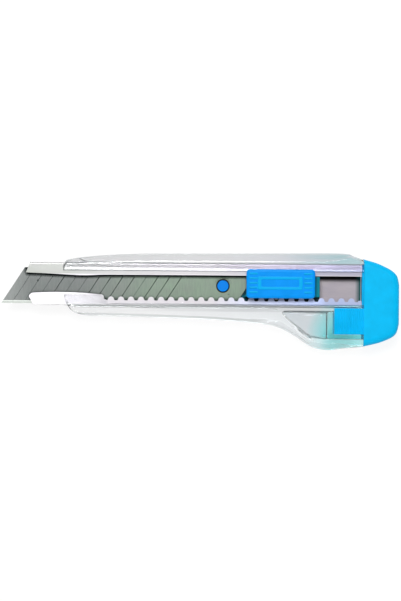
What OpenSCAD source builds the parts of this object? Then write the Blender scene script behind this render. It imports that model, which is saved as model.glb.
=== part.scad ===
// Snap-off knife with a clear moulded handle, a steel blade channel, a sliding blade carrier
// with a press-to-release lock, and a pull-off end cap.
// The knife lies on its flat back: +X runs from the blade's tip to the end cap, +Y from the
// cutting edge to the blade's back, and +Z out of the face that carries the thumb button.
// The origin is on the flat back, under the channel's centre line, halfway along the knife.

/* [Blade] */
// Length of the cutting edge, from the tip to the tail
blade_len = 100; // [95:1:102]
// Width of the blade from the cutting edge to the back
blade_w = 15.4; // [14:0.1:15.6]
// Thickness of the blade
blade_t = 0.5; // [0.4:0.05:0.6]
// Slant of the front, the tail and the score lines, in degrees from the cutting edge
blade_slant = 57; // [50:1:65]
// Length of one snap-off segment
segment = 5; // [4.8:0.1:5.2]
// Height of the ground bevel along the cutting edge
bevel_h = 1.2; // [0.8:0.1:1.6]
// Diameter of the hole in the blade's tail
blade_hole_d = 5.8; // [5.2:0.1:6.2]

/* [Channel] */
// Height of the folded steel channel, along Y
channel_h = 18.7; // [18.4:0.1:18.8]
// Depth of the channel, along Z
channel_d = 5.7; // [5.6:0.05:5.8]
// Thickness of the channel's sheet steel
sheet_t = 0.7; // [0.6:0.05:0.8]
// Distance between two locking notches
notch_pitch = 4.275; // [4.2:0.025:4.3]
// Radius of the round lobes between the notches
lobe_r = 1.3; // [1.1:0.05:1.4]

/* [Handle] */
// Thickness of the clear handle, along Z
handle_t = 12; // [11.8:0.1:12.4]
// Thickness of the handle's back wall and of the hollow's walls
wall_t = 2; // [1.6:0.1:2.4]
// Clearance between the channel and its tunnel, all round
tunnel_gap = 0.1; // [0.05:0.05:0.2]

/* [Slider] */
// Length of the thumb button, along X
button_l = 29.2; // [27:0.1:30]
// Width of the thumb button, along Y
button_w = 12.4; // [11:0.1:12.6]
// Number of grip ridges at each end of the thumb button
button_ridges = 5; // [3:1:6]
// Diameter of the stud that holds the blade
stud_d = 4.8; // [4:0.1:5]

/* [End cap] */
// Length of the end cap behind the handle
cap_l = 15.15; // [13:0.05:17]
// How far the end cap stands proud of the handle's front face
cap_proud = 0.4; // [0:0.1:0.8]
// Number of fine ribs on the end cap's grip tab
tab_ribs = 16; // [8:1:18]

/* [Hidden] */
$fn = 96;
EPS = 0.01;

// Blade: the tip, the lower edge and the run of the slant for each millimetre of height
tip_x = -84.9;
blade_y = -8.35;
slant_run = 1 / tan(blade_slant);
blade_z = 8.2;
blade_end_x = tip_x + blade_len;
// The first score line leaves a slightly shorter first segment
first_score_x = tip_x + 4.4;
score_count = 14;
score_depth = 0.12;
hole_x = 9.8;
hole_y = -0.35;

// Channel: folded outline in Y and Z, and its two ends along X
channel_x0 = -74.3;
channel_x1 = 69;
channel_z = 4.7;
lip_z = channel_z + channel_d - sheet_t;
bend_r = 0.9;
upper_lip_y = 4.15;
notch_floor_y = -6.8;
lobe_y = -6.5;
first_notch_x = -40.06;
notch_count = 26;
// The slot is narrow in front of this place, which stops the slider at full reach
narrow_x = -41.3;

// Handle: both ends along X, and the slot in its front face
handle_x0 = -58.7;
handle_x1 = 69.7;
tunnel_h = channel_h + 2 * tunnel_gap;
tunnel_z0 = channel_z - tunnel_gap;
tunnel_z1 = channel_z + channel_d + tunnel_gap;
slot_y0 = -8;
slot_y1 = 5.9;
slot_edge = 1.5;
slot_edge_z = 10.9;
// In front of this place the handle also covers the lower lip, up to its edge
cover_x = -42.2;
cover_y = -4.4;
rail_w = 2.8;
hollow_y0 = -10.6;
hollow_y1 = -22.9;
// The hollow is shallower in front of this place, where the end cap's plug ends
hollow_step_x = 54;
hollow_step = 1;
cap_gap = 0.15;

// Slider: the carrier's base, its neck through the slot, and the pocket for the lock
carrier_x0 = 3.5;
carrier_x1 = 51;
carrier_y = 8.3;
carrier_z0 = 5.6;
carrier_z1 = blade_z;
shoulder_x = 27;
shoulder_z = 9.4;
neck_y0 = -4.8;
neck_y1 = 3.8;
neck_x0 = 18.9;
neck_z = 11.3;
pocket = [26.2, 45.8, -3.4, 2.4];
pocket_z = 6.6;
stud_z = 9.3;
// The lock's tooth stands in this notch, counted from the front
lock_notch = 17;
tooth_x = first_notch_x + lock_notch * notch_pitch;
tooth_w = 1.2;
tooth_y = -6.1;
pawl_z0 = 9.1;
pawl_z1 = 10.3;
pawl_gap = 0.3;
peg_x = [29, 43];
peg_y = -0.5;
peg_d = 2;
peg_play = 0.1;
spring_t = 0.3;
spring_l = 16;
spring_y = [-2.4, 1.4];
spring_top = pawl_z0 - 0.05;

// Thumb button
button_x0 = 19.7;
button_y1 = 6.9;
button_z0 = 12.9;
button_z1 = 15.2;
button_r = 1.6;
ridge_h = 0.3;
ridge_w = 0.7;
ridge_l = 3.4;
ridge_pitch = 1.95;
panel = [24.7, 43.3, -1.6, 3.6];
panel_edge = 0.5;
panel_h = 0.2;

// End cap: outer face, grip tab in the handle's notch, and the plug under it in the hollow
cap_x0 = handle_x1 + cap_gap;
tab_x0 = 57.3;
tab_y = [-20.6, -9.4];
tab_z = 10.6;
tab_play = 0.2;
plug_x0 = tab_x0;
plug_play = 0.3;
plug_wall = 1.5;
boss_gap = 0.2;
boss_y = 9.1;
boss_z = [5, 10.2];
rib_h = 0.3;
snap_slit = [6.5, 16.5, 1];
snap_slit_y = -15;

// A smooth curve through the points of p, with n steps from each point to the next
function curve_at(a, b, c, d, t) = 0.5 * (2 * b + (c - a) * t
    + (2 * a - 5 * b + 4 * c - d) * t * t + (3 * b - a - 3 * c + d) * t * t * t);
function smooth(p, n) = [
    for (i = [0 : len(p) - 2])
        for (k = [0 : n - 1])
            curve_at(p[max(i - 1, 0)], p[i], p[i + 1], p[min(i + 2, len(p) - 1)], k / n),
    p[len(p) - 1]
];

// Handle outline: the back runs from the front to the end cap, the belly swells near the end
handle_top = smooth([[-57.2, 10.4], [-51.5, 11.6], [-41, 12.6], [-27, 13.35], [0, 13.7],
                     [40, 14], [61.5, 14.05], [65.5, 13], [handle_x1, 11.5]], 4);
handle_belly = smooth([[handle_x1, -26.1], [61.8, -26.8], [55, -27.5], [48.1, -26.2],
                       [41.2, -21.8], [34.4, -18.2], [27.5, -16.7], [10.4, -15.3],
                       [-17, -14.3], [-45, -13.6], [-51, -13.1], [-54.5, -11.9]], 4);
handle_nose = [[-56.4, -9.7], [-57.8, -7.4], [handle_x0, 8]];

// Outline of the end cap seen from the front
cap_back = smooth([[cap_x0, 11.5], [cap_x0 + 5.3, 10], [cap_x0 + cap_l * 0.8, 6.6],
                   [cap_x0 + cap_l * 0.96, 4.2], [cap_x0 + cap_l, 0.5]], 4);
cap_belly = smooth([[cap_x0 + cap_l, -15.5], [cap_x0 + cap_l * 0.96, -19.2],
                    [cap_x0 + cap_l * 0.8, -22], [cap_x0 + 5.6, -24.4], [cap_x0, -25.7]], 4);

// Inside of the hollow in the handle's belly
hollow_outline = [[33, hollow_y0], [36.5, -13.4], [42.9, -18], [47.6, -21.8], [53, hollow_y1],
                  [handle_x1 + EPS, hollow_y1], [handle_x1 + EPS, hollow_y0]];

// A bar between two X places, whose children are its section in Y and Z
module along_x(x0, x1) {
    translate([x0, 0, 0])
        rotate([90, 0, 90])
            linear_extrude(height = x1 - x0)
                children();
}

// A block between two corners
module block(x, y, z) {
    translate([x[0], y[0], z[0]])
        cube([x[1] - x[0], y[1] - y[0], z[1] - z[0]]);
}

// A rectangle with round corners
module round_rect(x, y, r) {
    translate([x[0] + r, y[0]])
        square([x[1] - x[0] - 2 * r, y[1] - y[0]]);
    translate([x[0], y[0] + r])
        square([x[1] - x[0], y[1] - y[0] - 2 * r]);
    for (cx = [x[0] + r, x[1] - r])
        for (cy = [y[0] + r, y[1] - r])
            translate([cx, cy])
                circle(r);
}

// The hollow behind x0, with a wall over and under it
module belly_hollow(x0, wall) {
    translate([0, 0, wall])
        linear_extrude(height = handle_t - 2 * wall)
            intersection() {
                polygon(hollow_outline);
                translate([x0, hollow_y1 - 1])
                    square([handle_x1 - x0 + 1, hollow_y0 - hollow_y1 + 2]);
            }
}

module handle_body() {
    color([0.86, 0.92, 0.95, 0.45])
        difference() {
            linear_extrude(height = handle_t)
                polygon(concat(handle_top, handle_belly, handle_nose));
            // Tunnel that holds the channel
            block([handle_x0 - 1, handle_x1 + 1], [-tunnel_h / 2, tunnel_h / 2],
                  [tunnel_z0, tunnel_z1]);
            // Slot in the front face, with a sloping upper edge
            translate([0, 0, tunnel_z1 - EPS])
                linear_extrude(height = handle_t)
                    polygon([[handle_x0 - 1, slot_y1], [handle_x0 - 1, cover_y], [cover_x, cover_y],
                             [cover_x + 3.2, slot_y0], [handle_x1 + 1, slot_y0],
                             [handle_x1 + 1, slot_y1]]);
            along_x(handle_x0 - 1, handle_x1 + 1)
                polygon([[slot_y1 - 1, slot_edge_z], [slot_y1, slot_edge_z],
                         [slot_y1 + slot_edge, handle_t], [slot_y1 + slot_edge, handle_t + 1],
                         [slot_y1 - 1, handle_t + 1]]);
            // Room behind the channel, between the two rails that it lies on
            block([handle_x0 + 4, handle_x1 + 1],
                  [-tunnel_h / 2 + rail_w, tunnel_h / 2 - rail_w], [wall_t, tunnel_z0 + 1]);
            // Hollow in the belly, deep enough for the end cap's plug at the rear
            belly_hollow(hollow_step_x, wall_t);
            belly_hollow(handle_x0, wall_t + hollow_step);
            // Notch in the front face for the end cap's grip tab
            block([tab_x0 - tab_play, handle_x1 + 1],
                  [tab_y[0] - tab_play, tab_y[1] + tab_play], [handle_t / 2, handle_t + 1]);
        }
}

// Plan of the opening between the channel's two lips, with the lobes left standing
module lip_opening() {
    difference() {
        polygon([[channel_x0 - 1, 4.85], [-72, 4.7], [-63, 4.35], [-50.5, 3.75], [-42, 4.1],
                 [-30, upper_lip_y], [channel_x1 + 1, upper_lip_y],
                 [channel_x1 + 1, notch_floor_y], [narrow_x + 0.4, notch_floor_y],
                 [narrow_x, -4.4], [-46, -4], [-58, -3.5], [-66, -3.55], [-71.6, -3.9],
                 [-73, -5.4], [channel_x0 - 1, -7]]);
        for (i = [0 : notch_count - 2])
            translate([first_notch_x + (i + 0.5) * notch_pitch, lobe_y]) {
                circle(lobe_r);
                translate([-lobe_r, -1])
                    square([2 * lobe_r, 1]);
            }
        // Last lobe runs out into the plain end of the lip
        translate([first_notch_x + (notch_count - 1) * notch_pitch + 0.9, notch_floor_y - 1])
            square([5, 1.6]);
    }
}

module blade_channel() {
    half_h = channel_h / 2;
    color("lightsteelblue")
        difference() {
            intersection() {
                along_x(channel_x0, channel_x1)
                    difference() {
                        round_rect([-half_h, half_h], [channel_z, channel_z + channel_d], bend_r);
                        round_rect([-half_h + sheet_t, half_h - sheet_t],
                                   [channel_z + sheet_t, lip_z], bend_r - sheet_t);
                    }
                // Slanted nose
                linear_extrude(height = handle_t)
                    polygon([[-72.4, half_h], [channel_x0, 4.8], [-73, -4.8], [-70.7, -half_h],
                             [channel_x1, -half_h], [channel_x1, half_h]]);
            }
            translate([0, 0, lip_z - EPS])
                linear_extrude(height = sheet_t + 1)
                    lip_opening();
        }
}

module blade() {
    top_y = blade_y + blade_w;
    color("slategray")
        difference() {
            intersection() {
                linear_extrude(height = handle_t)
                    polygon([[tip_x, blade_y], [blade_end_x, blade_y],
                             [blade_end_x + blade_w * slant_run, top_y],
                             [tip_x + blade_w * slant_run, top_y]]);
                along_x(tip_x - 1, blade_end_x + blade_w)
                    polygon([[blade_y, blade_z + blade_t / 2], [blade_y + bevel_h, blade_z],
                             [top_y, blade_z], [top_y, blade_z + blade_t],
                             [blade_y + bevel_h, blade_z + blade_t]]);
            }
            translate([hole_x, hole_y, blade_z - 1])
                cylinder(d = blade_hole_d, h = blade_t + 2);
            // V-shaped score lines on the front face
            for (i = [0 : score_count - 1])
                translate([first_score_x + i * segment, blade_y, blade_z + blade_t])
                    rotate([0, 0, blade_slant])
                        rotate([45, 0, 0])
                            translate([-1, -score_depth, -score_depth])
                                cube([blade_w / sin(blade_slant) + 2, 2 * score_depth,
                                      2 * score_depth]);
        }
}

module slider_carrier() {
    slant_x = (neck_y1 - neck_y0) * slant_run;
    color("teal")
        difference() {
            union() {
                block([carrier_x0, carrier_x1], [-carrier_y, carrier_y],
                      [carrier_z0, carrier_z1]);
                block([shoulder_x, carrier_x1], [-carrier_y, carrier_y],
                      [carrier_z0, shoulder_z]);
                translate([0, 0, carrier_z0])
                    linear_extrude(height = neck_z - carrier_z0)
                        polygon([[neck_x0, neck_y0], [carrier_x1, neck_y0],
                                 [carrier_x1, neck_y1], [neck_x0 + slant_x, neck_y1]]);
                translate([hole_x, hole_y, carrier_z0])
                    cylinder(d = stud_d, h = stud_z - carrier_z0);
            }
            // Pocket for the spring and the pawl
            block([pocket[0], pocket[1]], [pocket[2], pocket[3]], [pocket_z, neck_z + 1]);
            // Window that the pawl's tooth comes out of
            block([tooth_x - tooth_w / 2 - pawl_gap, tooth_x + tooth_w / 2 + pawl_gap],
                  [-carrier_y - 1, pocket[2] + EPS], [7.8, pawl_z1 + 0.2]);
        }
}

module lock_spring() {
    rise = spring_top - pocket_z - spring_t;
    r = (spring_l * spring_l / 4 + rise * rise) / (2 * rise);
    mid_x = (pocket[0] + pocket[1]) / 2;
    color("silver")
        intersection() {
            translate([mid_x, spring_y[1], spring_top - spring_t - r])
                rotate([90, 0, 0])
                    difference() {
                        cylinder(r = r + spring_t, h = spring_y[1] - spring_y[0], $fn = 180);
                        translate([0, 0, -1])
                            cylinder(r = r, h = spring_y[1] - spring_y[0] + 2, $fn = 180);
                    }
            block([mid_x - spring_l / 2, mid_x + spring_l / 2], spring_y,
                  [pocket_z + EPS, spring_top + 1]);
        }
}

module lock_pawl() {
    color("gray")
        difference() {
            union() {
                block([pocket[0] + pawl_gap, pocket[1] - pawl_gap],
                      [pocket[2] + pawl_gap, pocket[3] - pawl_gap], [pawl_z0, pawl_z1]);
                block([tooth_x - tooth_w / 2, tooth_x + tooth_w / 2],
                      [tooth_y, pocket[2] + 1], [pawl_z0, pawl_z1]);
            }
            for (x = peg_x)
                translate([x, peg_y, pawl_z0 - 1])
                    cylinder(d = peg_d + 2 * peg_play, h = pawl_z1 - pawl_z0 + 2);
        }
}

module thumb_button() {
    x1 = button_x0 + button_l;
    y0 = button_y1 - button_w;
    color("dodgerblue") {
        translate([0, 0, button_z0])
            linear_extrude(height = button_z1 - button_z0)
                round_rect([button_x0, x1], [y0, button_y1], button_r);
        // Grip ridges at both ends
        for (x = [button_x0 + 1.2, x1 - 1.2 - ridge_l])
            for (k = [0 : button_ridges - 1])
                translate([x, (y0 + button_y1) / 2 + (k - (button_ridges - 1) / 2) * ridge_pitch
                              - ridge_w / 2, button_z1 - EPS])
                    cube([ridge_l, ridge_w, ridge_h + EPS]);
        // Raised frame round a plain panel
        difference() {
            block([panel[0], panel[1]], [panel[2], panel[3]],
                  [button_z1 - EPS, button_z1 + panel_h]);
            block([panel[0] + panel_edge, panel[1] - panel_edge],
                  [panel[2] + panel_edge, panel[3] - panel_edge], [button_z1, button_z1 + 1]);
        }
        // Stem down through the neck, with two pegs in the pawl
        block([pocket[0] + 0.8, pocket[1] - 0.8], [pocket[2] + 0.8, pocket[3] - 0.8],
              [pawl_z1, button_z0 + EPS]);
        for (x = peg_x)
            translate([x, peg_y, pawl_z0])
                cylinder(d = peg_d, h = button_z0 - pawl_z0);
    }
}

module end_cap() {
    plug_y = [tab_y[0], hollow_y0 - plug_play];
    plug_z = [wall_t + plug_play, handle_t - wall_t - plug_play];
    rib_pitch = (cap_x0 - tab_x0) / tab_ribs;
    color("deepskyblue")
        difference() {
            union() {
                linear_extrude(height = handle_t + cap_proud)
                    polygon(concat(cap_back, cap_belly));
                block([plug_x0, cap_x0 + 1], plug_y, plug_z);
                // Boss that closes the end of the channel
                block([channel_x1 + boss_gap, cap_x0 + 1], [-boss_y, boss_y], boss_z);
                // Tab, flush in the notch, on a web that rises from the plug
                block([tab_x0, cap_x0 + 1], tab_y, [tab_z, handle_t]);
                block([tab_x0, cap_x0 + 1], [tab_y[0], plug_y[1]], [plug_z[0], handle_t]);
                for (k = [0 : tab_ribs - 1])
                    block([tab_x0 + (k + 0.25) * rib_pitch, tab_x0 + (k + 0.75) * rib_pitch],
                          tab_y, [handle_t - EPS, handle_t + rib_h]);
            }
            // The plug is a box that is open at its front
            block([plug_x0 - 1, cap_x0 - plug_wall],
                  [plug_y[0] + plug_wall, plug_y[1] - plug_wall],
                  [plug_z[0] + plug_wall, plug_z[1] - plug_wall]);
            // Slit in the end face for snapping off a worn segment
            block([cap_x0 + cap_l - snap_slit[0], cap_x0 + cap_l + 1],
                  [snap_slit_y, snap_slit_y + snap_slit[1]],
                  [handle_t / 2, handle_t / 2 + snap_slit[2]]);
        }
}

handle_body();
blade_channel();
blade();
slider_carrier();
lock_spring();
lock_pawl();
thumb_button();
end_cap();
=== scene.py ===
"""Looks of the snap-off knife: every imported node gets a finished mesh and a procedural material.

Shapes are written in millimetres in the row frame and turned into metres when a mesh is made.
The knife lies on its flat back; +X runs from the blade's tip to the end cap, +Y from the cutting
edge to the blade's back, and +Z out of the face with the thumb button.
"""

import math

import bmesh
import bpy
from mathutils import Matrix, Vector


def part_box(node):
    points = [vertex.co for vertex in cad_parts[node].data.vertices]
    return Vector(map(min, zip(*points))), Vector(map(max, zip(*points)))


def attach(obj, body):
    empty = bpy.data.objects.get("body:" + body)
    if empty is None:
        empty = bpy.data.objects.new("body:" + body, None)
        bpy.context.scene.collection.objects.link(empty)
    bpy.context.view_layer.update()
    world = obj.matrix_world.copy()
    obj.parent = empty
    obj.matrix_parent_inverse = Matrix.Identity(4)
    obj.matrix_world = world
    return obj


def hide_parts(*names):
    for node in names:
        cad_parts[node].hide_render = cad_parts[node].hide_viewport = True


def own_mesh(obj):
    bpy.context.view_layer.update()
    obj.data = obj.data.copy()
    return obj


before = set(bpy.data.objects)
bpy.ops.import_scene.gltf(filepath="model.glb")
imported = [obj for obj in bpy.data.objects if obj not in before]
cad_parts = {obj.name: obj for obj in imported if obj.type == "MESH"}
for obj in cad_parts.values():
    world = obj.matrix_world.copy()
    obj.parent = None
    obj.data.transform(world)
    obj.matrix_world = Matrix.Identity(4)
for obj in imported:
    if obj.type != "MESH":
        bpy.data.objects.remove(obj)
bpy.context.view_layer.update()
MM = 0.001


# ---------------------------------------------------------------- measures taken from the frame

def box_mm(node):
    """Lowest and highest corner of a CAD node, in millimetres."""
    low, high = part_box(node)
    return low / MM, high / MM


HANDLE_LO, HANDLE_HI = box_mm("handle_body")
CHANNEL_LO, CHANNEL_HI = box_mm("blade_channel")
BLADE_LO, BLADE_HI = box_mm("blade")
PAWL_LO, PAWL_HI = box_mm("lock_pawl")
BUTTON_LO, BUTTON_HI = box_mm("thumb_button")
CAP_LO, CAP_HI = box_mm("end_cap")

# Channel: its sheet, and the row of notches between round lobes on its lower lip
SHEET = 0.7
BEND_R = 0.9
NOTCH_PITCH = 4.275
FIRST_NOTCH = -40.06
LOBE_COUNT = 25
LOBE_R = 1.3
LOBE_Y = -6.5
NOTCH_FLOOR = -6.8

# Blade: its slanted end, and the scores between its segments, some of them pressed less deeply
BLADE_W = BLADE_HI.y - BLADE_LO.y
SLANT_RUN = 1 / math.tan(math.radians(57))
BLADE_L = BLADE_HI.x - BLADE_LO.x - BLADE_W * SLANT_RUN
SEGMENT = 5.0
FIRST_SCORE = 4.4
SCORE_COUNT = 14
FAINT_SCORES = (0, 1, 2, 4, 5, 10)
FAINT = 0.5
BEVEL = 1.2
SCORE_W = 0.34
SCORE_D = 0.13
HOLE = (9.8, -0.35)
HOLE_R = 2.9

# Handle: the tunnel round the channel, the slot over it, the cover at its front and the hollow in
# the belly, which narrows to a step where the cap's plug goes in
TUNNEL_Y = CHANNEL_HI.y + 0.1
TUNNEL_Z = (CHANNEL_LO.z - 0.1, CHANNEL_HI.z + 0.1)
SLOT_Y = (-8.0, 5.9)
COVER = (-42.2, -4.4)
BEHIND_MARGIN = 2.8
HOLLOW_Y = (-22.9, -10.6)
HOLLOW_Z = (2.0, 10.0)
HOLLOW_STEP = (54.0, 1.0)

# End cap: its grip tab, and the face that meets the handle
TAB_X = 57.3
TAB_Y = (-20.6, -9.4)
TAB_RIBS = 16
CAP_X = HANDLE_HI.x + 0.15


# ---------------------------------------------------------------- outlines

def smooth_curve(points, steps):
    """Points along a smooth curve through points, with steps from each to the next."""
    out = []
    last = len(points) - 1
    for i in range(last):
        a, b, c, d = (Vector(points[min(max(k, 0), last)]) for k in (i - 1, i, i + 1, i + 2))
        for k in range(steps):
            t = k / steps
            p = 2 * b + (c - a) * t + (2 * a - 5 * b + 4 * c - d) * t * t
            p += (3 * b - a - 3 * c + d) * t ** 3
            out.append(tuple(p / 2))
    out.append(tuple(points[last]))
    return out


def arc(cx, cy, r, start, end, steps):
    """Points on an arc, angles in degrees."""
    angles = [math.radians(start + (end - start) * k / steps) for k in range(steps + 1)]
    return [(cx + r * math.cos(a), cy + r * math.sin(a)) for a in angles]


def rounded_rect(x0, x1, y0, y1, r, steps=6):
    """Outline of a rectangle with round corners, anticlockwise."""
    out = arc(x1 - r, y0 + r, r, -90, 0, steps) + arc(x1 - r, y1 - r, r, 0, 90, steps)
    return out + arc(x0 + r, y1 - r, r, 90, 180, steps) + arc(x0 + r, y0 + r, r, 180, 270, steps)


def inset(points, distance, share=None):
    """Outline moved inwards by distance, or by that times share(middle of the edge)."""
    n = len(points)
    area = sum(points[i][0] * points[(i + 1) % n][1] - points[(i + 1) % n][0] * points[i][1]
               for i in range(n))
    side = 1 if area > 0 else -1
    normals, moves = [], []
    for i in range(n):
        start, end = Vector(points[i]), Vector(points[(i + 1) % n])
        edge = (end - start).normalized()
        normals.append(Vector((-edge.y, edge.x)) * side)
        moves.append(distance * (share((start + end) / 2) if share else 1))
    out = []
    for i in range(n):
        a, b = normals[i - 1], normals[i]
        da, db = moves[i - 1], moves[i]
        det = a.x * b.y - a.y * b.x
        if abs(det) < 0.5 and a.dot(b) > 0:
            move = (a + b) * (da + db) / 2 / (1 + a.dot(b))
        else:
            move = Vector((da * b.y - db * a.y, db * a.x - da * b.x)) / det
        out.append((points[i][0] + move.x, points[i][1] + move.y))
    return out


# ---------------------------------------------------------------- mesh making

def new_object(name, bm):
    """Object from a bmesh that is in millimetres."""
    bmesh.ops.remove_doubles(bm, verts=bm.verts, dist=1e-4)
    bmesh.ops.recalc_face_normals(bm, faces=bm.faces)
    bmesh.ops.scale(bm, vec=(MM, MM, MM), verts=bm.verts)
    mesh = bpy.data.meshes.new(name)
    bm.to_mesh(mesh)
    bm.free()
    obj = bpy.data.objects.new(name, mesh)
    bpy.context.scene.collection.objects.link(obj)
    return obj


def loft(name, rings):
    """Closed solid through rings of 3-D points that all have the same count."""
    bm = bmesh.new()
    rows = [[bm.verts.new(p) for p in ring] for ring in rings]
    for low, high in zip(rows, rows[1:]):
        for i in range(len(low)):
            j = (i + 1) % len(low)
            bm.faces.new((low[i], low[j], high[j], high[i]))
    bm.faces.new(rows[0])
    bm.faces.new(rows[-1])
    return new_object(name, bm)


def layered(name, outline, layers, share=None):
    """Solid whose outline is moved inwards by a given distance at each height."""
    return loft(name, [[(x, y, z) for x, y in inset(outline, d, share)] for z, d in layers])


def prism(name, outline, z0, z1):
    """Outline in X and Y, pulled along Z."""
    return loft(name, [[(x, y, z) for x, y in outline] for z in (z0, z1)])


def bar(name, section, x0, x1):
    """Section in Y and Z, pulled along X."""
    return loft(name, [[(x, y, z) for y, z in section] for x in (x0, x1)])


def block(name, x, y, z):
    """Plain block, used only as a cutter or to join to something else."""
    return prism(name, [(x[0], y[0]), (x[1], y[0]), (x[1], y[1]), (x[0], y[1])], *z)


def disc(name, cx, cy, r, z0, z1, steps=64):
    """Round bar along Z."""
    return prism(name, arc(cx, cy, r, 0, 360 - 360 / steps, steps - 1), z0, z1)


def apply_modifiers(obj):
    """Turn an object's modifiers into its mesh."""
    bpy.context.view_layer.update()
    graph = bpy.context.evaluated_depsgraph_get()
    mesh = bpy.data.meshes.new_from_object(obj.evaluated_get(graph))
    old = obj.data
    obj.modifiers.clear()
    obj.data = mesh
    bpy.data.meshes.remove(old)


def combine(obj, others, operation):
    """Cut others out of obj, or join them to it."""
    for other in others:
        step = obj.modifiers.new("combine", "BOOLEAN")
        step.object = other
        step.operation = operation
        step.solver = "EXACT"
    apply_modifiers(obj)
    for other in others:
        bpy.data.objects.remove(other)
    return obj


def cut(obj, *others):
    return combine(obj, others, "DIFFERENCE")


def join(obj, *others):
    return combine(obj, others, "UNION")


def clean(obj, angle=0.3):
    """Merge faces that lie in one plane, so that edges can be rounded evenly."""
    bm = bmesh.new()
    bm.from_mesh(obj.data)
    bmesh.ops.remove_doubles(bm, verts=bm.verts, dist=2e-6)
    bmesh.ops.dissolve_degenerate(bm, dist=1e-6, edges=bm.edges)
    bmesh.ops.dissolve_limit(bm, angle_limit=math.radians(angle), verts=bm.verts, edges=bm.edges)
    bm.to_mesh(obj.data)
    bm.free()


def round_edges(obj, width, segments=2, angle=40):
    """Round every edge sharper than angle, width in millimetres."""
    step = obj.modifiers.new("round", "BEVEL")
    step.width = width * MM
    step.segments = segments
    step.limit_method = "ANGLE"
    step.angle_limit = math.radians(angle)
    apply_modifiers(obj)


def shade(obj, sharp=35):
    """Smooth shading that keeps edges above the sharp angle and leaves flat faces flat."""
    bm = bmesh.new()
    bm.from_mesh(obj.data)
    for face in bm.faces:
        face.smooth = True
    for edge in bm.edges:
        edge.smooth = edge.calc_face_angle(0) < math.radians(sharp)
    bm.to_mesh(obj.data)
    bm.free()
    step = obj.modifiers.new("normals", "WEIGHTED_NORMAL")
    step.keep_sharp = True
    step.weight = 80
    apply_modifiers(obj)


def from_cad(name, node):
    """Copy of a CAD node's mesh, ready for rounding."""
    obj = bpy.data.objects.new(name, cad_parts[node].data.copy())
    obj.data.materials.clear()
    bpy.context.scene.collection.objects.link(obj)
    clean(obj, 0.5)
    return obj


# ---------------------------------------------------------------- materials

# Near-black of painted shade and painted shadow.
DEEP_SHADE = (0.006, 0.01, 0.01)


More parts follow.
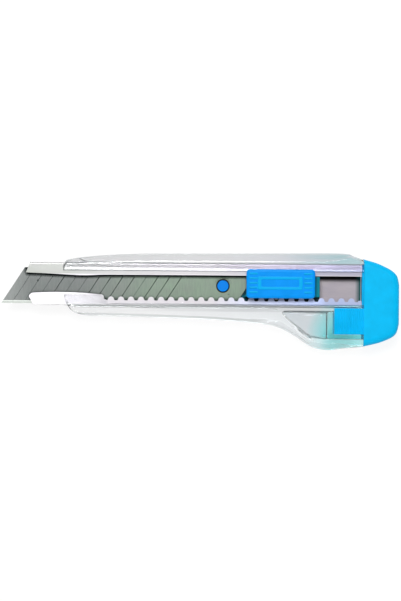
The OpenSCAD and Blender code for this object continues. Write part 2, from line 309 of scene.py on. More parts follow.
class Shader:
    """A material's node tree, built around one Principled shader."""

    def __init__(self, name, colour, roughness, metallic=0.0):
        self.material = bpy.data.materials.new(name)
        self.material.use_nodes = True
        self.tree = self.material.node_tree
        self.main = self.tree.nodes["Principled BSDF"]
        self.set("Base Color", (*colour, 1))
        self.set("Roughness", roughness)
        self.set("Metallic", metallic)
        self.place = self.tree.nodes.new("ShaderNodeTexCoord").outputs["Object"]
        self.normal = None

    def set(self, socket, value):
        self.main.inputs[socket].default_value = value

    def link(self, out, socket):
        self.tree.links.new(out, socket)

    def noise(self, size, detail=3.0, roughness=0.55, stretch=(1, 1, 1)):
        """Noise whose features are about size millimetres, stretched along the given axes."""
        mapping = self.tree.nodes.new("ShaderNodeMapping")
        mapping.inputs["Scale"].default_value = [1 / (size * MM * s) for s in stretch]
        self.link(self.place, mapping.inputs["Vector"])
        node = self.tree.nodes.new("ShaderNodeTexNoise")
        node.inputs["Scale"].default_value = 1.0
        node.inputs["Detail"].default_value = detail
        node.inputs["Roughness"].default_value = roughness
        self.link(mapping.outputs["Vector"], node.inputs["Vector"])
        return node.outputs["Fac"]

    def ramp(self, axis, start, end):
        """0 at start and before it, 1 at end and past it, in millimetres along an axis."""
        split = self.tree.nodes.new("ShaderNodeSeparateXYZ")
        self.link(self.place, split.inputs[0])
        return self.spread(split.outputs[axis], start * MM, end * MM, 0, 1)

    def spread(self, out, low, high, to_low, to_high):
        """A value from low to high, spread over another range."""
        node = self.tree.nodes.new("ShaderNodeMapRange")
        for socket, value in zip(("From Min", "From Max", "To Min", "To Max"),
                                 (low, high, to_low, to_high)):
            node.inputs[socket].default_value = value
        self.link(out, node.inputs["Value"])
        return node.outputs["Result"]

    def mix(self, factor, a, b):
        """Colour between a and b."""
        node = self.tree.nodes.new("ShaderNodeMix")
        node.data_type = "RGBA"
        self.link(factor, node.inputs["Factor"])
        for socket, value in ((6, a), (7, b)):
            if isinstance(value, tuple):
                node.inputs[socket].default_value = (*value, 1)
            else:
                self.link(value, node.inputs[socket])
        return node.outputs[2]

    def colour(self, out):
        self.link(out, self.main.inputs["Base Color"])

    def near(self, centre, inner, outer):
        """1 within inner millimetres of a place and 0 beyond outer."""
        node = self.tree.nodes.new("ShaderNodeVectorMath")
        node.operation = "DISTANCE"
        node.inputs[1].default_value = [c * MM for c in centre]
        self.link(self.place, node.inputs[0])
        return self.spread(node.outputs["Value"], outer * MM, inner * MM, 0, 1)

    def rough(self, out, low, high):
        self.link(self.spread(out, 0.3, 0.7, low, high), self.main.inputs["Roughness"])

    def bump(self, out, depth):
        """Surface relief, depth in millimetres. A second call adds to the first."""
        node = self.tree.nodes.new("ShaderNodeBump")
        node.inputs["Distance"].default_value = depth * MM
        self.link(out, node.inputs["Height"])
        if self.normal:
            self.link(self.normal, node.inputs["Normal"])
        self.normal = node.outputs["Normal"]
        self.link(self.normal, self.main.inputs["Normal"])

    def openness(self, reach):
        """How open the space above the surface is, within reach."""
        node = self.tree.nodes.new("ShaderNodeAmbientOcclusion")
        node.samples = 8
        node.inputs["Distance"].default_value = reach * MM
        return node.outputs["AO"]

    def flatness(self):
        """1 on faces that lie flat in the frame and 0 on upright walls."""
        normal = self.tree.nodes.new("ShaderNodeTexCoord").outputs["Normal"]
        split = self.tree.nodes.new("ShaderNodeSeparateXYZ")
        self.link(normal, split.inputs[0])
        size = self.tree.nodes.new("ShaderNodeMath")
        size.operation = "ABSOLUTE"
        self.link(split.outputs["Z"], size.inputs[0])
        return size.outputs[0]

    def shaded(self, colour, openness, shut, open_at, dark=DEEP_SHADE):
        """A colour with painted shade: it goes dark where openness falls from open_at to shut."""
        return self.mix(self.spread(openness, shut, open_at, 0, 1), dark, colour)

    def let_lamps_through(self, colour):
        """Light from lamps goes straight through, so clear plastic casts only a faint shadow."""
        path = self.tree.nodes.new("ShaderNodeLightPath")
        gap = self.tree.nodes.new("ShaderNodeBsdfTransparent")
        gap.inputs["Color"].default_value = (*colour, 1)
        mix = self.tree.nodes.new("ShaderNodeMixShader")
        self.link(path.outputs["Is Shadow Ray"], mix.inputs[0])
        self.link(self.main.outputs[0], mix.inputs[1])
        self.link(gap.outputs[0], mix.inputs[2])
        self.link(mix.outputs[0], self.tree.nodes["Material Output"].inputs["Surface"])


def tint(colour, amount):
    """A colour made lighter or darker."""
    return tuple(min(1.0, c * amount) for c in colour)


def clear_plastic():
    """Clear styrene, with painted light and shade in its tint: darker along the top and towards the
    rear, lighter on the lower front, a painted teal cast of the blue end cap's light beside the
    cap, and painted grey shade on steep walls.
    """
    s = Shader("clear_plastic", (0.98, 0.985, 0.985), 0.04)
    s.set("Transmission Weight", 1.0)
    s.set("IOR", 1.5)
    # Painted light and shade: the top half is darker than the lower front, and the whole grows
    # darker and bluer towards the rear.
    body = s.mix(s.ramp("X", 5, 60), (0.79, 0.785, 0.80), (0.66, 0.69, 0.76))
    strip = s.mix(s.ramp("X", -25, 20), (0.94, 0.945, 0.95), (0.72, 0.74, 0.76))
    rim = s.mix(s.ramp("X", -25, 38), (0.94, 0.945, 0.95), (0.84, 0.87, 0.89))
    low = s.mix(s.ramp("Y", -11, -11.5), strip, rim)
    body = s.mix(s.ramp("Y", -1, -6), body, low)
    # Painted teal cast of the blue end cap's light: along the top at the rear, and lighter and
    # darker teal in the hump beside the cap.
    high = s.mix(s.ramp("Y", 9.2, 9.8), body, (0.47, 0.64, 0.68))
    body = s.mix(s.ramp("X", 35, 60), body, high)
    body = s.mix(s.near((64, -21, 6), 8, 19), body, (0.42, 0.84, 0.86))
    body = s.mix(s.near((60, -26, 6), 7, 10.5), body, (0.33, 0.70, 0.71))
    # Painted grey shade on steep walls, by how far each face tilts from flat.
    s.colour(s.shaded(body, s.flatness(), 0.45, 0.985, (0.50, 0.54, 0.54)))
    s.rough(s.noise(6, 4), 0.02, 0.07)
    s.bump(s.noise(8, 2, stretch=(9, 1, 1)), 0.006)
    s.bump(s.noise(0.5, 3, stretch=(3, 1, 1)), 0.0008)
    s.let_lamps_through((0.55, 0.56, 0.56))
    return s.material


def sheet_steel():
    """Rolled steel with painted light and shade: the upper lip darker than the lower lip, painted
    highlights on the upper lip's edge and on both bends, pale at the front and lilac at the rear.
    The sleeve's back plate has its own grey, with a painted shadow under the upper lip and painted
    shade with a teal cast of the cap at its rear end.
    """
    base = (0.72, 0.70, 0.73)
    s = Shader("channel_steel", base, 0.3, 1.0)
    rolled = s.noise(0.22, 4, stretch=(30, 1, 1))
    # Painted highlight along the upper lip's edge.
    lip_edge_highlight = s.ramp("Y", 4.5, 4.35)
    # Painted light and shade: the lower lip lighter than the upper lip, lightest on the nose.
    front = s.mix(s.ramp("X", -52, -38), tint(base, 1.12), tint(base, 0.74))
    upper = s.mix(s.ramp("X", -58, -10), (0.37, 0.385, 0.36), (0.46, 0.45, 0.465))
    upper = s.mix(lip_edge_highlight, upper, (0.62, 0.61, 0.64))
    front = s.mix(s.ramp("Y", -1, 1), front, upper)
    upper = s.mix(s.ramp("Y", 6.6, 7.8), (0.34, 0.335, 0.41), (0.68, 0.60, 0.71))
    upper = s.mix(lip_edge_highlight, upper, (0.56, 0.55, 0.60))
    # Painted light on the lower lip at the rear: lighter and bluer as far as the button's end,
    # darker behind it.
    lower = s.mix(s.ramp("X", 47, 54), (0.56, 0.66, 0.98), (0.36, 0.42, 0.62))
    rear = s.mix(s.ramp("Y", -1, 1), lower, upper)
    body = s.mix(s.ramp("X", 5, 48), front, rear)
    # Painted highlights: both bends of the sleeve are made white.
    body = s.mix(s.ramp("Y", -8.3, -8.7), body, (1.0, 1.0, 1.0))
    body = s.mix(s.ramp("Y", 8.8, 9.2), body, (1.0, 1.0, 1.0))
    cloud = s.spread(s.noise(7, 3, stretch=(3, 1, 1)), 0.3, 0.7, 0, 1)
    body = s.mix(s.spread(cloud, 0, 1, 0, 0.25), body, (0.50, 0.47, 0.52))
    # The back plate's own grey, darkened by a painted black shadow under the upper lip and by
    # painted shade with a teal cast of the cap at its rear end.
    back_plate_shaded = s.mix(cloud, (0.29, 0.27, 0.31), (0.37, 0.34, 0.36))
    back_plate_shaded = s.mix(s.ramp("Y", 1.6, 3.2), back_plate_shaded, (0.012, 0.012, 0.012))
    back_plate_shaded = s.mix(s.ramp("X", 66.5, 68.6), back_plate_shaded, (0.01, 0.07, 0.07))
    s.colour(s.mix(s.ramp("Z", 6.5, 6), body, back_plate_shaded))
    s.rough(rolled, 0.4, 0.52)
    s.bump(rolled, 0.003)
    s.bump(s.noise(2.5, 2), 0.004)
    return s.material


def blade_steel():
    """Ground steel, lighter and neutral at the tip and slightly green towards the stud, with
    painted shade under the lips.
    """
    base = (0.165, 0.18, 0.175)
    s = Shader("blade_steel", base, 0.36, 1.0)
    ground = s.noise(0.16, 4, stretch=(1, 22, 1))
    cloud = s.noise(6, 4, 0.6)
    body = s.mix(s.ramp("X", -72, -84), base, (0.29, 0.305, 0.30))
    body = s.mix(s.ramp("X", -50, -15), body, (0.20, 0.265, 0.205))
    body = s.mix(s.spread(cloud, 0.35, 0.7, 0, 0.4), body, (0.20, 0.20, 0.20))
    body = s.mix(s.spread(ground, 0.3, 0.7, 0, 0.25), body, (0.10, 0.11, 0.105))
    # Painted shade from ambient occlusion: a black painted shadow line under the upper lip, and
    # weaker painted shade by the lower lip's notches.
    gap = s.openness(2)
    low, high = s.shaded(body, gap, 0.5, 0.85), s.shaded(body, gap, 0.87, 0.935)
    s.colour(s.mix(s.ramp("Y", 0, 2), low, high))
    s.rough(ground, 0.42, 0.54)
    s.bump(ground, 0.002)
    return s.material


def honed_steel():
    """Ground edge, bright partly from its own polish and partly as a painted highlight where the
    bevel catches the light.
    """
    base = (0.9, 0.95, 0.9)
    s = Shader("honed_edge", base, 0.5, 1.0)
    honed = s.noise(0.1, 3, stretch=(1, 14, 1))
    s.colour(s.mix(honed, tint(base, 0.85), base))
    s.rough(honed, 0.45, 0.55)
    s.bump(honed, 0.0015)
    return s.material


def spring_steel(name, base, roughness):
    """Drawn steel with its grain along X."""
    s = Shader(name, base, roughness, 1.0)
    grain = s.noise(0.2, 4, stretch=(12, 1, 1))
    s.colour(s.mix(grain, tint(base, 0.85), tint(base, 1.1)))
    s.rough(grain, roughness - 0.08, roughness + 0.1)
    s.bump(grain, 0.002)
    return s.material


def moulded(name, base, roughness, grain, depth, second=None, painted_gap_shade=False):
    """Moulded plastic with a fine spark-eroded grain, in a second colour where a ramp says, and,
    when asked, painted shade in gaps and recesses.
    """
    s = Shader(name, base, roughness)
    s.set("Specular IOR Level", 0.09)
    cloud = s.noise(5, 3)
    body = s.mix(s.spread(cloud, 0.3, 0.7, 0, 1), tint(base, 0.94), tint(base, 1.05))
    if second:
        other, *ramp = second
        body = s.mix(s.ramp(*ramp), body, other)
    # Painted shade: darker where little space is open above the surface.
    s.colour(s.shaded(body, s.openness(2.5), 0.5, 0.88) if painted_gap_shade else body)
    fine = s.noise(grain, 2)
    s.rough(cloud, roughness - 0.05, roughness + 0.08)
    s.bump(fine, depth)
    return s.material


def floor_paper():
    """White light table: its own glow keeps shadows faint."""
    s = Shader("floor", (0.15, 0.15, 0.15), 0.85)
    s.set("Specular IOR Level", 0.1)
    s.set("Emission Color", (1, 1, 1, 1))
    s.set("Emission Strength", 0.88)
    s.bump(s.noise(0.8, 3), 0.01)
    return s.material


BUTTON_BLUE = (0.0, 0.275, 0.82)
CAP_BLUE = (0.0, 0.46, 0.83)
MATERIALS = {
    "clear_plastic": clear_plastic(),
    "channel_steel": sheet_steel(),
    "blade_steel": blade_steel(),
    "honed_edge": honed_steel(),
    "spring_steel": spring_steel("spring_steel", (0.5, 0.51, 0.53), 0.3),
    "pawl_steel": spring_steel("pawl_steel", (0.36, 0.37, 0.38), 0.42),
    # The carrier is blue plastic: its stud end keeps that blue, and the rest is painted dark teal
    # as painted shade down in the channel.
    "carrier_plastic": moulded("carrier_plastic", (0.0, 0.2, 0.27), 0.42, 0.12, 0.004,
                               ((0.0, 0.2, 0.72), "X", 14, 13.5), painted_gap_shade=True),
    # The button's second colour is a painted highlight on the tops of its ridges and frame.
    "button_plastic": moulded("button_plastic", BUTTON_BLUE, 0.34, 0.1, 0.003,
                              ((0.0, 0.38, 0.78), "Z", 15.2, 15.4)),
    "cap_plastic": moulded("cap_plastic", CAP_BLUE, 0.46, 0.16, 0.006),
}


def place(obj, body, node, slot, materials=None):
    """Give a piece its material and its body, and hide the CAD node that it stands for."""
    for name in materials or [slot]:
        obj.data.materials.append(MATERIALS[name])
    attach(obj, body)
    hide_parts(node)


# ---------------------------------------------------------------- clear handle

# Plan of the handle, from its front along the back to the end face and home along the belly
HANDLE_BACK = [(-57.2, 10.4), (-51.5, 11.6), (-41, 12.6), (-27, 13.35), (0, 13.7), (40, 14),
               (61.5, 14.05), (65.5, 13), (HANDLE_HI.x, 11.5)]
HANDLE_BELLY = [(HANDLE_HI.x, -26.1), (61.8, -26.8), (55, -27.5), (48.1, -26.2), (41.2, -21.8),
                (34.4, -18.2), (27.5, -16.7), (10.4, -15.3), (-17, -14.3), (-45, -13.6),
                (-51, -13.1), (-54.5, -11.9), (-56.4, -9.7), (-57.6, -7.4)]
# Height of each layer, how far it lies inside the rim, and its share of the slope round the face
HANDLE_LAYERS = [(0, 1.1, 0), (0.12, 0.65, 0), (0.4, 0.3, 0), (0.9, 0.06, 0), (1.5, 0, 0),
                 (3.3, 0, 0), (3.75, 0.08, 0), (3.95, 0.3, 0), (4.1, 0.72, 0), (4.3, 0.8, 0),
                 (9.6, 0.85, 0), (10.1, 0.85, 0.1), (10.45, 0.85, 0.4), (10.7, 0.85, 0.8),
                 (11.6, 0.85, 2.3), (11.9, 0.85, 3.05), (12, 0.85, 3.3)]
HOLLOW = [(35.4, -12.2), (37.7, -14.6), (42.9, -18.9), (47.0, -21.8), (53.5, -22.85)]
SEAM = [(-56.6, -7.2), (-55.8, -8.6), (-54, -9.5), (-50.6, -9.75), (30.5, -9.7), (33.5, -10.6)]


def handle_inset(middle, rim, slope):
    """Inset of a layer beside one edge: none on the end face and less near both ends."""
    if middle.x > HANDLE_HI.x - 0.01:
        return 0
    front = max(0.25, (middle.x - HANDLE_LO.x) / 14)
    rear = max(0.4, (HANDLE_HI.x - middle.x) / 12)
    if middle.y > 0:
        return min(1, front, rear) * (0.7 * rim + slope)
    swell = 0.35 + 0.55 * min(1, max(0, (middle.x - 22) / 12))
    return min(1, front, rear) * (0.7 * rim + swell * slope)


def groove(name, points, top, width=0.55, depth=0.36):
    """Cutter for a V-shaped groove along a line, in a flat face at height top."""
    rings = []
    for i, (x, y) in enumerate(points):
        start, end = Vector(points[max(i - 1, 0)]), Vector(points[min(i + 1, len(points) - 1)])
        along = (end - start).normalized()
        side = Vector((-along.y, along.x)) * width
        rings.append([(x - side.x, y - side.y, top + depth), (x, y, top - depth),
                      (x + side.x, y + side.y, top + depth)])
    return loft(name, rings)


def handle_shell():
    """Outside of the handle, before anything is cut out of it."""
    outline = smooth_curve(HANDLE_BACK, 5) + smooth_curve(HANDLE_BELLY, 5)
    outline += [(-58.1, -5.5), (HANDLE_LO.x, 8)]
    rings = []
    for z, rim, slope in HANDLE_LAYERS:
        ring = inset(outline, 1, lambda middle: handle_inset(middle, rim, slope))
        rings.append([(x, y, z) for x, y in ring])
    return loft("handle_shell", rings)


def channel_room(x0, x1):
    """Cutters for the channel's tunnel, the slot over it and the slot's rounded upper side."""
    tunnel = bar("tunnel", rounded_rect(-TUNNEL_Y, TUNNEL_Y, *TUNNEL_Z, 0.1, 2), x0, x1)
    cover_x, cover_y = COVER
    slot = prism("slot", [(x0, cover_y), (cover_x - 0.5, cover_y), (cover_x + 0.2, cover_y - 0.3),
                          (cover_x + 3.2, SLOT_Y[0]), (x1, SLOT_Y[0]), (x1, 4), (x0, 4)],
                 TUNNEL_Z[1] - 0.1, 14)
    upper = bar("slope", [(3, 6), (SLOT_Y[1], 6), (SLOT_Y[1], 10.9), (6.1, 11.35),
                          (6.6, 11.75), (7.4, 12.001), (7.4, 14), (3, 14)], x0, x1)
    return tunnel, slot, upper


def handle_hollows(end):
    """Cutters for the hollow behind the channel, the one in the belly and the room for the plug."""
    low, high = HOLLOW_Z
    half = TUNNEL_Y - BEHIND_MARGIN
    behind = block("behind", (HANDLE_LO.x + 4, end), (-half, half), (low, TUNNEL_Z[0] + 1))
    floor_y, roof_y = HOLLOW_Y
    step_x, step = HOLLOW_STEP
    inside = smooth_curve(HOLLOW, 5)
    inside += [(end, floor_y), (end, roof_y), (46, roof_y), (40, roof_y)]
    inside += [(36, -10.7), (35.2, -11.3)]
    rise = [(step, 1.9), (step + 0.85, 0.1), (step + 1.1, 0)]
    layers = [(low + z, less) for z, less in rise] + [(high - z, less) for z, less in rise[::-1]]
    belly = layered("hollow", inside, layers, lambda middle: min(1, max(0.1, (middle.x - 33) / 14)))
    mouth = [(step_x, 0.9), (step_x + 0.15, 0.45), (step_x + 0.5, 0.12), (step_x + 1, 0), (end, 0)]
    rings = []
    for at, less in mouth:
        section = rounded_rect(floor_y + less, roof_y - less, low + less, high - less, 0.6, 4)
        rings.append([(at, y, z) for y, z in section])
    return behind, belly, loft("plug_room", rings)


def handle_body():
    body = handle_shell()
    x0, x1 = HANDLE_LO.x - 3, HANDLE_HI.x + 3
    notch = block("notch", (TAB_X - 0.2, x1), (TAB_Y[0] - 0.2, TAB_Y[1] + 0.2), (6, 14))
    cut(body, *channel_room(x0, x1), *handle_hollows(x1), notch, groove("seam", SEAM, 12))
    clean(body, 0.2)
    round_edges(body, 0.22, 2, 55)
    shade(body, 50)
    place(body, "handle", "handle_body", "clear_plastic")


# ---------------------------------------------------------------- steel channel

def lip_opening():
    """Plan of the gap between the two lips: up one edge and back along the other."""
    low = [(CHANNEL_LO.x - 2, -7.4), (-73.1, -5.6), (-72.6, -4.6), (-71.8, -4.0)]
    low += smooth_curve([(-71, -3.85), (-66, -3.55), (-58, -3.5), (-50, -3.75), (-41.9, -4.4)], 5)
    low += [(-41.3, -4.7), (-41.05, -5.3), (-40.9, -6.2)]
    for i in range(LOBE_COUNT):
        x = FIRST_NOTCH + (i + 0.5) * NOTCH_PITCH
        low += arc(x - LOBE_R - 0.45, NOTCH_FLOOR + 0.45, 0.45, 270, 350, 3)
        low += arc(x, LOBE_Y, LOBE_R, 172, 8, 14)
        low += arc(x + LOBE_R + 0.45, NOTCH_FLOOR + 0.45, 0.45, 190, 270, 3)
    low += [(67.4, NOTCH_FLOOR), (67.7, -6.2), (CHANNEL_HI.x + 2, -6.2)]
    high = [(CHANNEL_LO.x - 2, 4.9), (-73, 4.75), (-63, 4.35), (-55, 3.95), (-50.5, 3.76),
            (-46, 3.86), (-41, 4.05), (-30, 4.13), (-10, 4.15), (CHANNEL_HI.x + 2, 4.15)]
    return low + smooth_curve(high, 4)[::-1]


def blade_channel():
    top, x0, x1 = CHANNEL_HI.y, CHANNEL_LO.x, CHANNEL_HI.x
    z0, z1 = CHANNEL_LO.z, CHANNEL_HI.z
    tube = bar("channel_sleeve", rounded_rect(-top, top, z0, z1, BEND_R, 6), x0 - 1, x1)
    bore = bar("bore", rounded_rect(-top + SHEET, top - SHEET, z0 + SHEET, z1 - SHEET,
                                    BEND_R - SHEET, 4),
               x0 - 2, x1 + 1)
    opening = prism("opening", lip_opening(), z1 - SHEET - 0.4, z1 + 1)
    nose_high = prism("nose_high", [(x0 - 3, 12), (-71.7, 12), (-72.35, top), (-72.7, 8.6),
                                    (x0 + 0.1, 5.1), (x0 + 0.05, 4.4), (-74.0, 0), (x0 - 3, 0)],
                      z0 - 1, z1 + 1)
    nose_low = prism("nose_low", [(x0 - 3, 0.01), (-74.0, 0.01), (-73.0, -4.9), (-72.7, -5.9),
                                  (-71.2, -8.6), (-70.5, -9.0), (-70.1, -12), (x0 - 3, -12)],
                     z0 - 1, z1 + 1)
    cut(tube, bore, opening, nose_high, nose_low)
    clean(tube, 0.2)
    round_edges(tube, 0.13, 2, 50)
    shade(tube, 40)
    place(tube, "handle", "blade_channel", "channel_steel")


# ---------------------------------------------------------------- blade

def score_columns():
    """Places along the blade and how deep its front face dips at each."""
    columns = [(0.0, 0.0)]
    for i in range(SCORE_COUNT):
        x = FIRST_SCORE + i * SEGMENT
        pressed = FAINT if i in FAINT_SCORES else 1
        columns += [(x - SCORE_W / 2 * pressed, 0), (x, SCORE_D * pressed),
                    (x + SCORE_W / 2 * pressed, 0)]
    columns.append((BLADE_L, 0.0))
    return columns


def blade():
    """Strip with ground bevel and V-shaped scores, built on a slanted grid."""
    z_mid = (BLADE_LO.z + BLADE_HI.z) / 2
    half = (BLADE_HI.z - BLADE_LO.z) / 2
    columns = score_columns()
    rows = [(0.0, 0.02), (BEVEL * 0.5, 0.5), (BEVEL, 1.0), (BLADE_W, 1.0)]
    bm = bmesh.new()

    def vert(column, row, side):
        x, dip = column
        y, full = row
        z = half * full
        if side > 0:
            z = max(z - dip, -half)
        return bm.verts.new((BLADE_LO.x + x + y * SLANT_RUN, BLADE_LO.y + y, z_mid + side * z))

    grids = [[[vert(c, r, side) for r in rows] for c in columns] for side in (1, -1)]
    for grid, flip in zip(grids, (False, True)):
        for a, b in zip(grid, grid[1:]):
            for k in range(len(rows) - 1):
                face = bm.faces.new((a[k], b[k], b[k + 1], a[k + 1]))
                if flip:
                    face.normal_flip()
    top, low = grids
    rim = [top[i][0] for i in range(len(columns))] + top[-1][1:]
    rim += [top[i][-1] for i in range(len(columns) - 2, -1, -1)] + top[0][-2:0:-1]
    rim_low = [low[i][0] for i in range(len(columns))] + low[-1][1:]
    rim_low += [low[i][-1] for i in range(len(columns) - 2, -1, -1)] + low[0][-2:0:-1]
    for i in range(len(rim)):
        j = (i + 1) % len(rim)
        bm.faces.new((rim[i], rim_low[i], rim_low[j], rim[j]))
    strip = new_object("scored_blade", bm)
    cut(strip, disc("hole", *HOLE, HOLE_R, BLADE_LO.z - 1, BLADE_HI.z + 1),
        disc("punch_mark", -69.3, 1.4, 0.42, BLADE_HI.z - 0.15, BLADE_HI.z + 1, 16),
        disc("punch_mark_2", 12.3, -3.9, 0.3, BLADE_HI.z - 0.15, BLADE_HI.z + 1, 16))
    clean(strip, 0.1)
    shade(strip, 12)
    place(strip, "slider", "blade", "blade_steel", ["blade_steel", "honed_edge"])
    edge_y = (BLADE_LO.y + BEVEL) * MM
    for face in strip.data.polygons:
        if face.center.y < edge_y and abs(face.normal.z) < 0.999:
            face.material_index = 1


# ---------------------------------------------------------------- slider

def slider_carrier():
    piece = from_cad("blade_carrier", "slider_carrier")
    round_edges(piece, 0.3, 3, 40)
    shade(piece, 45)
    place(piece, "slider", "slider_carrier", "carrier_plastic")


def lock_spring():
    leaf = from_cad("leaf_spring", "lock_spring")
    round_edges(leaf, 0.06, 2, 40)
    shade(leaf, 40)
    place(leaf, "slider", "lock_spring", "spring_steel")
    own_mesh(leaf)


def lock_pawl():
    pawl = from_cad("toothed_pawl", "lock_pawl")
    round_edges(pawl, 0.15, 2, 40)
    shade(pawl, 40)
    place(pawl, "button", "lock_pawl", "pawl_steel")


def ridge(x0, x1, y, w, z0, z1):
    """Low bar along X with round ends and a rounded top, standing on a face."""
    outline = rounded_rect(x0, x1, y - w / 2, y + w / 2, w * 0.49, 4)
    return layered("ridge", outline, [(z0 - 0.3, 0), (z0 + 0.4 * (z1 - z0), 0),
                                      (z0 + 0.8 * (z1 - z0), 0.12 * w), (z1, 0.3 * w)])


def thumb_button():
    x0, x1, y0, y1 = BUTTON_LO.x, BUTTON_HI.x, BUTTON_LO.y, BUTTON_HI.y
    z0, face, top = 12.9, 15.2, BUTTON_HI.z
    mid = (y0 + y1) / 2
    outline = rounded_rect(x0, x1, y0, y1, 1.6, 8)
    cap = layered("button_cap", outline, [(z0, 0.3), (z0 + 0.12, 0.08), (z0 + 0.3, 0),
                                          (face - 0.75, 0.02), (face - 0.42, 0.16),
                                          (face - 0.16, 0.42), (face - 0.03, 0.8), (face, 1.3)])
    ridges = []
    for start in (x0 + 1.13, x1 - 4.83):
        for k in range(5):
            y = mid + 0.37 + (k - 2) * 1.97
            ridges.append(ridge(start, start + 3.7, y, 0.86, face, top))
    outer = layered("frame_outer", rounded_rect(24.5, 43.5, mid - 2.5, mid + 3.1, 0.5, 4),
                    [(face - 0.3, 0), (face + 0.1, 0), (face + 0.24, 0.3)])
    inner = layered("frame_inner", rounded_rect(26.0, 42.0, mid - 1.2, mid + 1.8, 0.4, 4),
                    [(face - 0.05, 0), (face + 0.08, 0), (top + 0.1, -0.4)])
    stem = block("stem", (PAWL_LO.x + 0.5, PAWL_HI.x - 0.5), (-2.6, 1.6), (PAWL_HI.z, z0 + 0.4))
    pegs = [disc("peg", x, -0.5, 1.0, PAWL_LO.z, z0, 32) for x in (29, 43)]
    join(cap, outer, stem, *pegs, *ridges)
    cut(cap, inner)
    clean(cap, 0.2)
    shade(cap, 40)
    place(cap, "button", "thumb_button", "button_plastic")


# ---------------------------------------------------------------- end cap

CAP_BACK = [(CAP_X, 11.5), (CAP_X + 5.3, 10), (CAP_X + 8.9, 8.45), (CAP_X + 12.2, 6.6),
            (CAP_X + 14.3, 4.3), (CAP_HI.x, 0.5)]
CAP_BELLY = [(CAP_HI.x, -16), (CAP_X + 14.2, -19.6), (CAP_X + 12.4, -21.6),
             (CAP_X + 9.1, -23.2), (CAP_X + 5.6, -24.4), (CAP_X, -25.7)]
CAP_LAYERS = [(0, 1.6), (0.2, 0.9), (0.6, 0.35), (1.2, 0.05), (1.8, 0), (9.9, 0), (10.7, 0.12),
              (11.4, 0.5), (11.9, 1.05), (12.2, 1.7), (12.34, 2.4), (CAP_HI.z, 3.2)]


def end_cap():
    outline = smooth_curve(CAP_BACK, 5) + smooth_curve(CAP_BELLY, 5)
    cap = layered("cap_shell", outline, CAP_LAYERS, lambda middle: middle.x > CAP_X + 0.01)
    plug_y, plug_z = (TAB_Y[0], -10.9), (2.3, 9.7)
    plug = bar("plug", rounded_rect(*plug_y, *plug_z, 0.6, 4), CAP_LO.x, CAP_X + 1)
    boss = bar("boss", rounded_rect(-9.1, 9.1, 5, 10.2, 0.5, 4), CHANNEL_HI.x + 0.2, CAP_X + 1)
    web = block("web", (TAB_X, CAP_X + 1), (TAB_Y[0], plug_y[1]), (plug_z[1] - 1, 11.6))
    tab = bar("tab", rounded_rect(*TAB_Y, 10.6, 12, 0.25, 3), TAB_X, CAP_X + 1)
    ribs = []
    pitch = (CAP_X - 0.2 - TAB_X) / TAB_RIBS
    for k in range(TAB_RIBS):
        x = TAB_X + 0.1 + (k + 0.5) * pitch
        section = [(x - 0.25, 11.9), (x + 0.25, 11.9), (x + 0.2, 12.16), (x + 0.07, 12.28),
                   (x - 0.07, 12.28), (x - 0.2, 12.16)]
        ribs.append(loft("rib", [[(px, y, pz) for px, pz in section]
                                 for y in (TAB_Y[0] + 0.25, TAB_Y[1] - 0.25)]))
    join(cap, plug, boss, web, tab, *ribs)
    core = block("core", (CAP_LO.x - 1, CAP_X - 1.5), (plug_y[0] + 1.5, plug_y[1] - 1.5),
                 (plug_z[0] + 1.5, plug_z[1] - 1.5))
    slit = bar("slit", rounded_rect(-15, 1.5, 6, 7, 0.4, 3), CAP_HI.x - 6.5, CAP_HI.x + 1)
    cut(cap, core, slit)
    clean(cap, 0.2)
    round_edges(cap, 0.14, 2, 62)
    shade(cap, 45)
    place(cap, "cap", "end_cap", "cap_plastic")


# ---------------------------------------------------------------- floor, lights and camera

def floor():
    bm = bmesh.new()
    bmesh.ops.create_grid(bm, x_segments=8, y_segments=8, size=2500)
    sheet = new_object("studio_floor", bm)
    sheet.location.z = -0.0002
    sheet.data.materials.append(floor_paper())


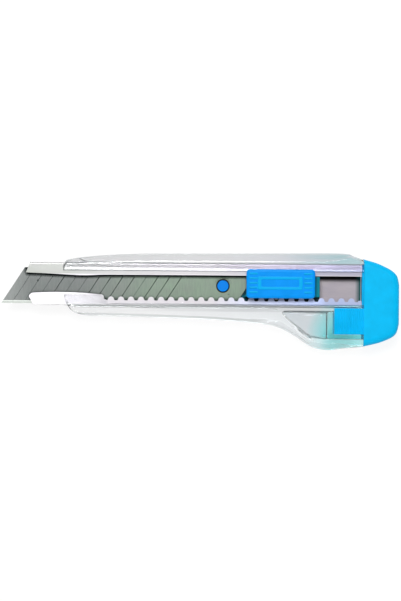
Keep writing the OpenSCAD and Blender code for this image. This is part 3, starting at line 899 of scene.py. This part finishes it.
def area_light(name, place_at, size, power):
    """White lamp that faces the knife."""
    light = bpy.data.lights.new(name, "AREA")
    light.shape = "RECTANGLE"
    light.size, light.size_y = size
    light.energy = power
    lamp = bpy.data.objects.new(name, light)
    lamp.location = place_at
    lamp.rotation_euler = (-Vector(place_at)).to_track_quat("-Z", "Y").to_euler()
    bpy.context.scene.collection.objects.link(lamp)


def studio():
    """Bright surroundings with a dark band above the horizon, which draws the clear edges."""
    world = bpy.data.worlds.new("studio")
    world.use_nodes = True
    nodes, links = world.node_tree.nodes, world.node_tree.links
    place_in = nodes.new("ShaderNodeTexCoord")
    split = nodes.new("ShaderNodeSeparateXYZ")
    ramp = nodes.new("ShaderNodeValToRGB")
    links.new(place_in.outputs["Generated"], split.inputs[0])
    links.new(split.outputs["Z"], ramp.inputs["Fac"])
    # Each stop is a share of the way from straight down to straight up, and a grey
    stops = ramp.color_ramp.elements
    for height, level in ((0.12, 0.75), (0.25, 0.12), (0.5, 0.15), (0.75, 0.3)):
        stops.new(height).color = (level, level, level, 1)
    stops[0].color = (0.8, 0.8, 0.8, 1)
    stops[-1].color = (0.38, 0.38, 0.38, 1)
    links.new(ramp.outputs["Color"], nodes["Background"].inputs["Color"])
    bpy.context.scene.world = world
    area_light("key", (-0.1, 0.42, 0.9), (0.42, 0.42), 8.5)
    area_light("front_strip", (0.0, -0.65, 0.5), (1.2, 0.25), 2)


IMAGE_ROWS = 601
MM_PER_ROW = 0.4275
CAMERA_OVER = (0.27, -6.62)
CAMERA_TURN = 0.0082


def camera():
    """Looks straight down on the knife, slightly turned, as a long lens would."""
    lens = bpy.data.cameras.new("camera")
    lens.lens = 100
    lens.sensor_width = 36
    field = IMAGE_ROWS * MM_PER_ROW * MM
    eye = bpy.data.objects.new("camera", lens)
    x, y = CAMERA_OVER
    eye.location = (x * MM, y * MM, BLADE_HI.z * MM + field / lens.sensor_width * lens.lens)
    eye.rotation_euler = (0, 0, CAMERA_TURN)
    bpy.context.scene.collection.objects.link(eye)
    bpy.context.scene.camera = eye


camera()
studio()
floor()
handle_body()
blade_channel()
blade()
slider_carrier()
lock_spring()
lock_pawl()
thumb_button()
end_cap()
bpy.context.scene.view_settings.view_transform = "Standard"
